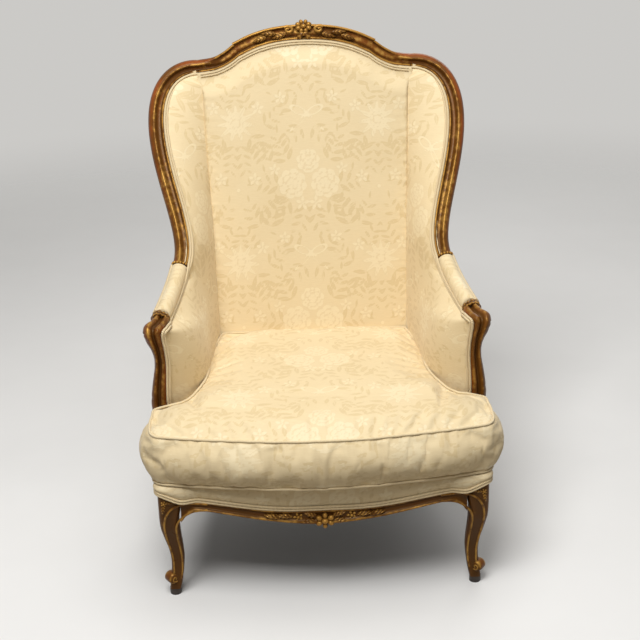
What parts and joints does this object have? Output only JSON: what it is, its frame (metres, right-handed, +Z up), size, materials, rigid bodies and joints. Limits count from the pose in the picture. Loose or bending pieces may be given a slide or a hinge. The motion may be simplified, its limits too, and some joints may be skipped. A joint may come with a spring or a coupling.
{
  "type": "wing armchair",
  "caption": "Wing armchair in a traditional French style, with a carved and parcel-gilt moulded frame, floral damask upholstery and a loose T-shaped seat cushion.",
  "frame": {"origin": "on the floor under the middle of the chair's overall box", "axes": "+X to the right as seen from the front, +Y towards the back, +Z up; the seat faces -Y"},
  "size_m": [0.723, 0.7881, 1.0868],
  "materials": {
    "show_wood": "polished, with worn gilding",
    "frame_wood": "planed, unpolished",
    "foot_wood": "dark satin",
    "damask": "woven, soft sheen",
    "deck_cloth": "plain woven, matt",
    "webbing": "coarse woven",
    "hessian": "coarse open weave",
    "dust_cloth": "thin matt cloth",
    "filling": "soft wadding"
  },
  "bodies": {
    "frame": {"back_hessian": "hessian", "back_webbing": "webbing", "corner_blocks": "frame_wood", "crest_rail": "show_wood", "dust_cover": "dust_cloth", "foot_pads": "foot_wood", "frame_dowels": "frame_wood", "front_border": "damask", "front_seat_rail": "show_wood", "inside_back_pad": "damask", "left_arm": "show_wood", "left_arm_pad": "damask", "left_arm_support": "show_wood", "left_front_leg": "show_wood", "left_inside_wing_arm_pad": "damask", "left_outside_panel": "damask", "left_rear_stile": "show_wood", "left_side_hessian": "hessian", "left_side_seat_rail": "show_wood", "left_stuffing_rail": "frame_wood", "left_wing_rail": "show_wood", "lower_back_rail": "frame_wood", "outside_back_panel": "damask", "rear_seat_rail": "frame_wood", "right_arm": "show_wood", "right_arm_pad": "damask", "right_arm_support": "show_wood", "right_front_leg": "show_wood", "right_inside_wing_arm_pad": "damask", "right_outside_panel": "damask", "right_rear_stile": "show_wood", "right_side_hessian": "hessian", "right_side_seat_rail": "show_wood", "right_stuffing_rail": "frame_wood", "right_wing_rail": "show_wood", "seat_deck_pad": "deck_cloth", "seat_hessian": "hessian", "seat_webbing_crosswise": "webbing", "seat_webbing_lengthwise": "webbing"},
    "cushion": {"cushion_cover": "damask", "cushion_filling": "filling"}
  },
  "joints": [
    {"name": "cushion_slide", "type": "slide", "parent": "frame", "child": "cushion", "axis": [0, -0.9997, 0.0262], "range_m": [0, 0.62]}
  ]
}
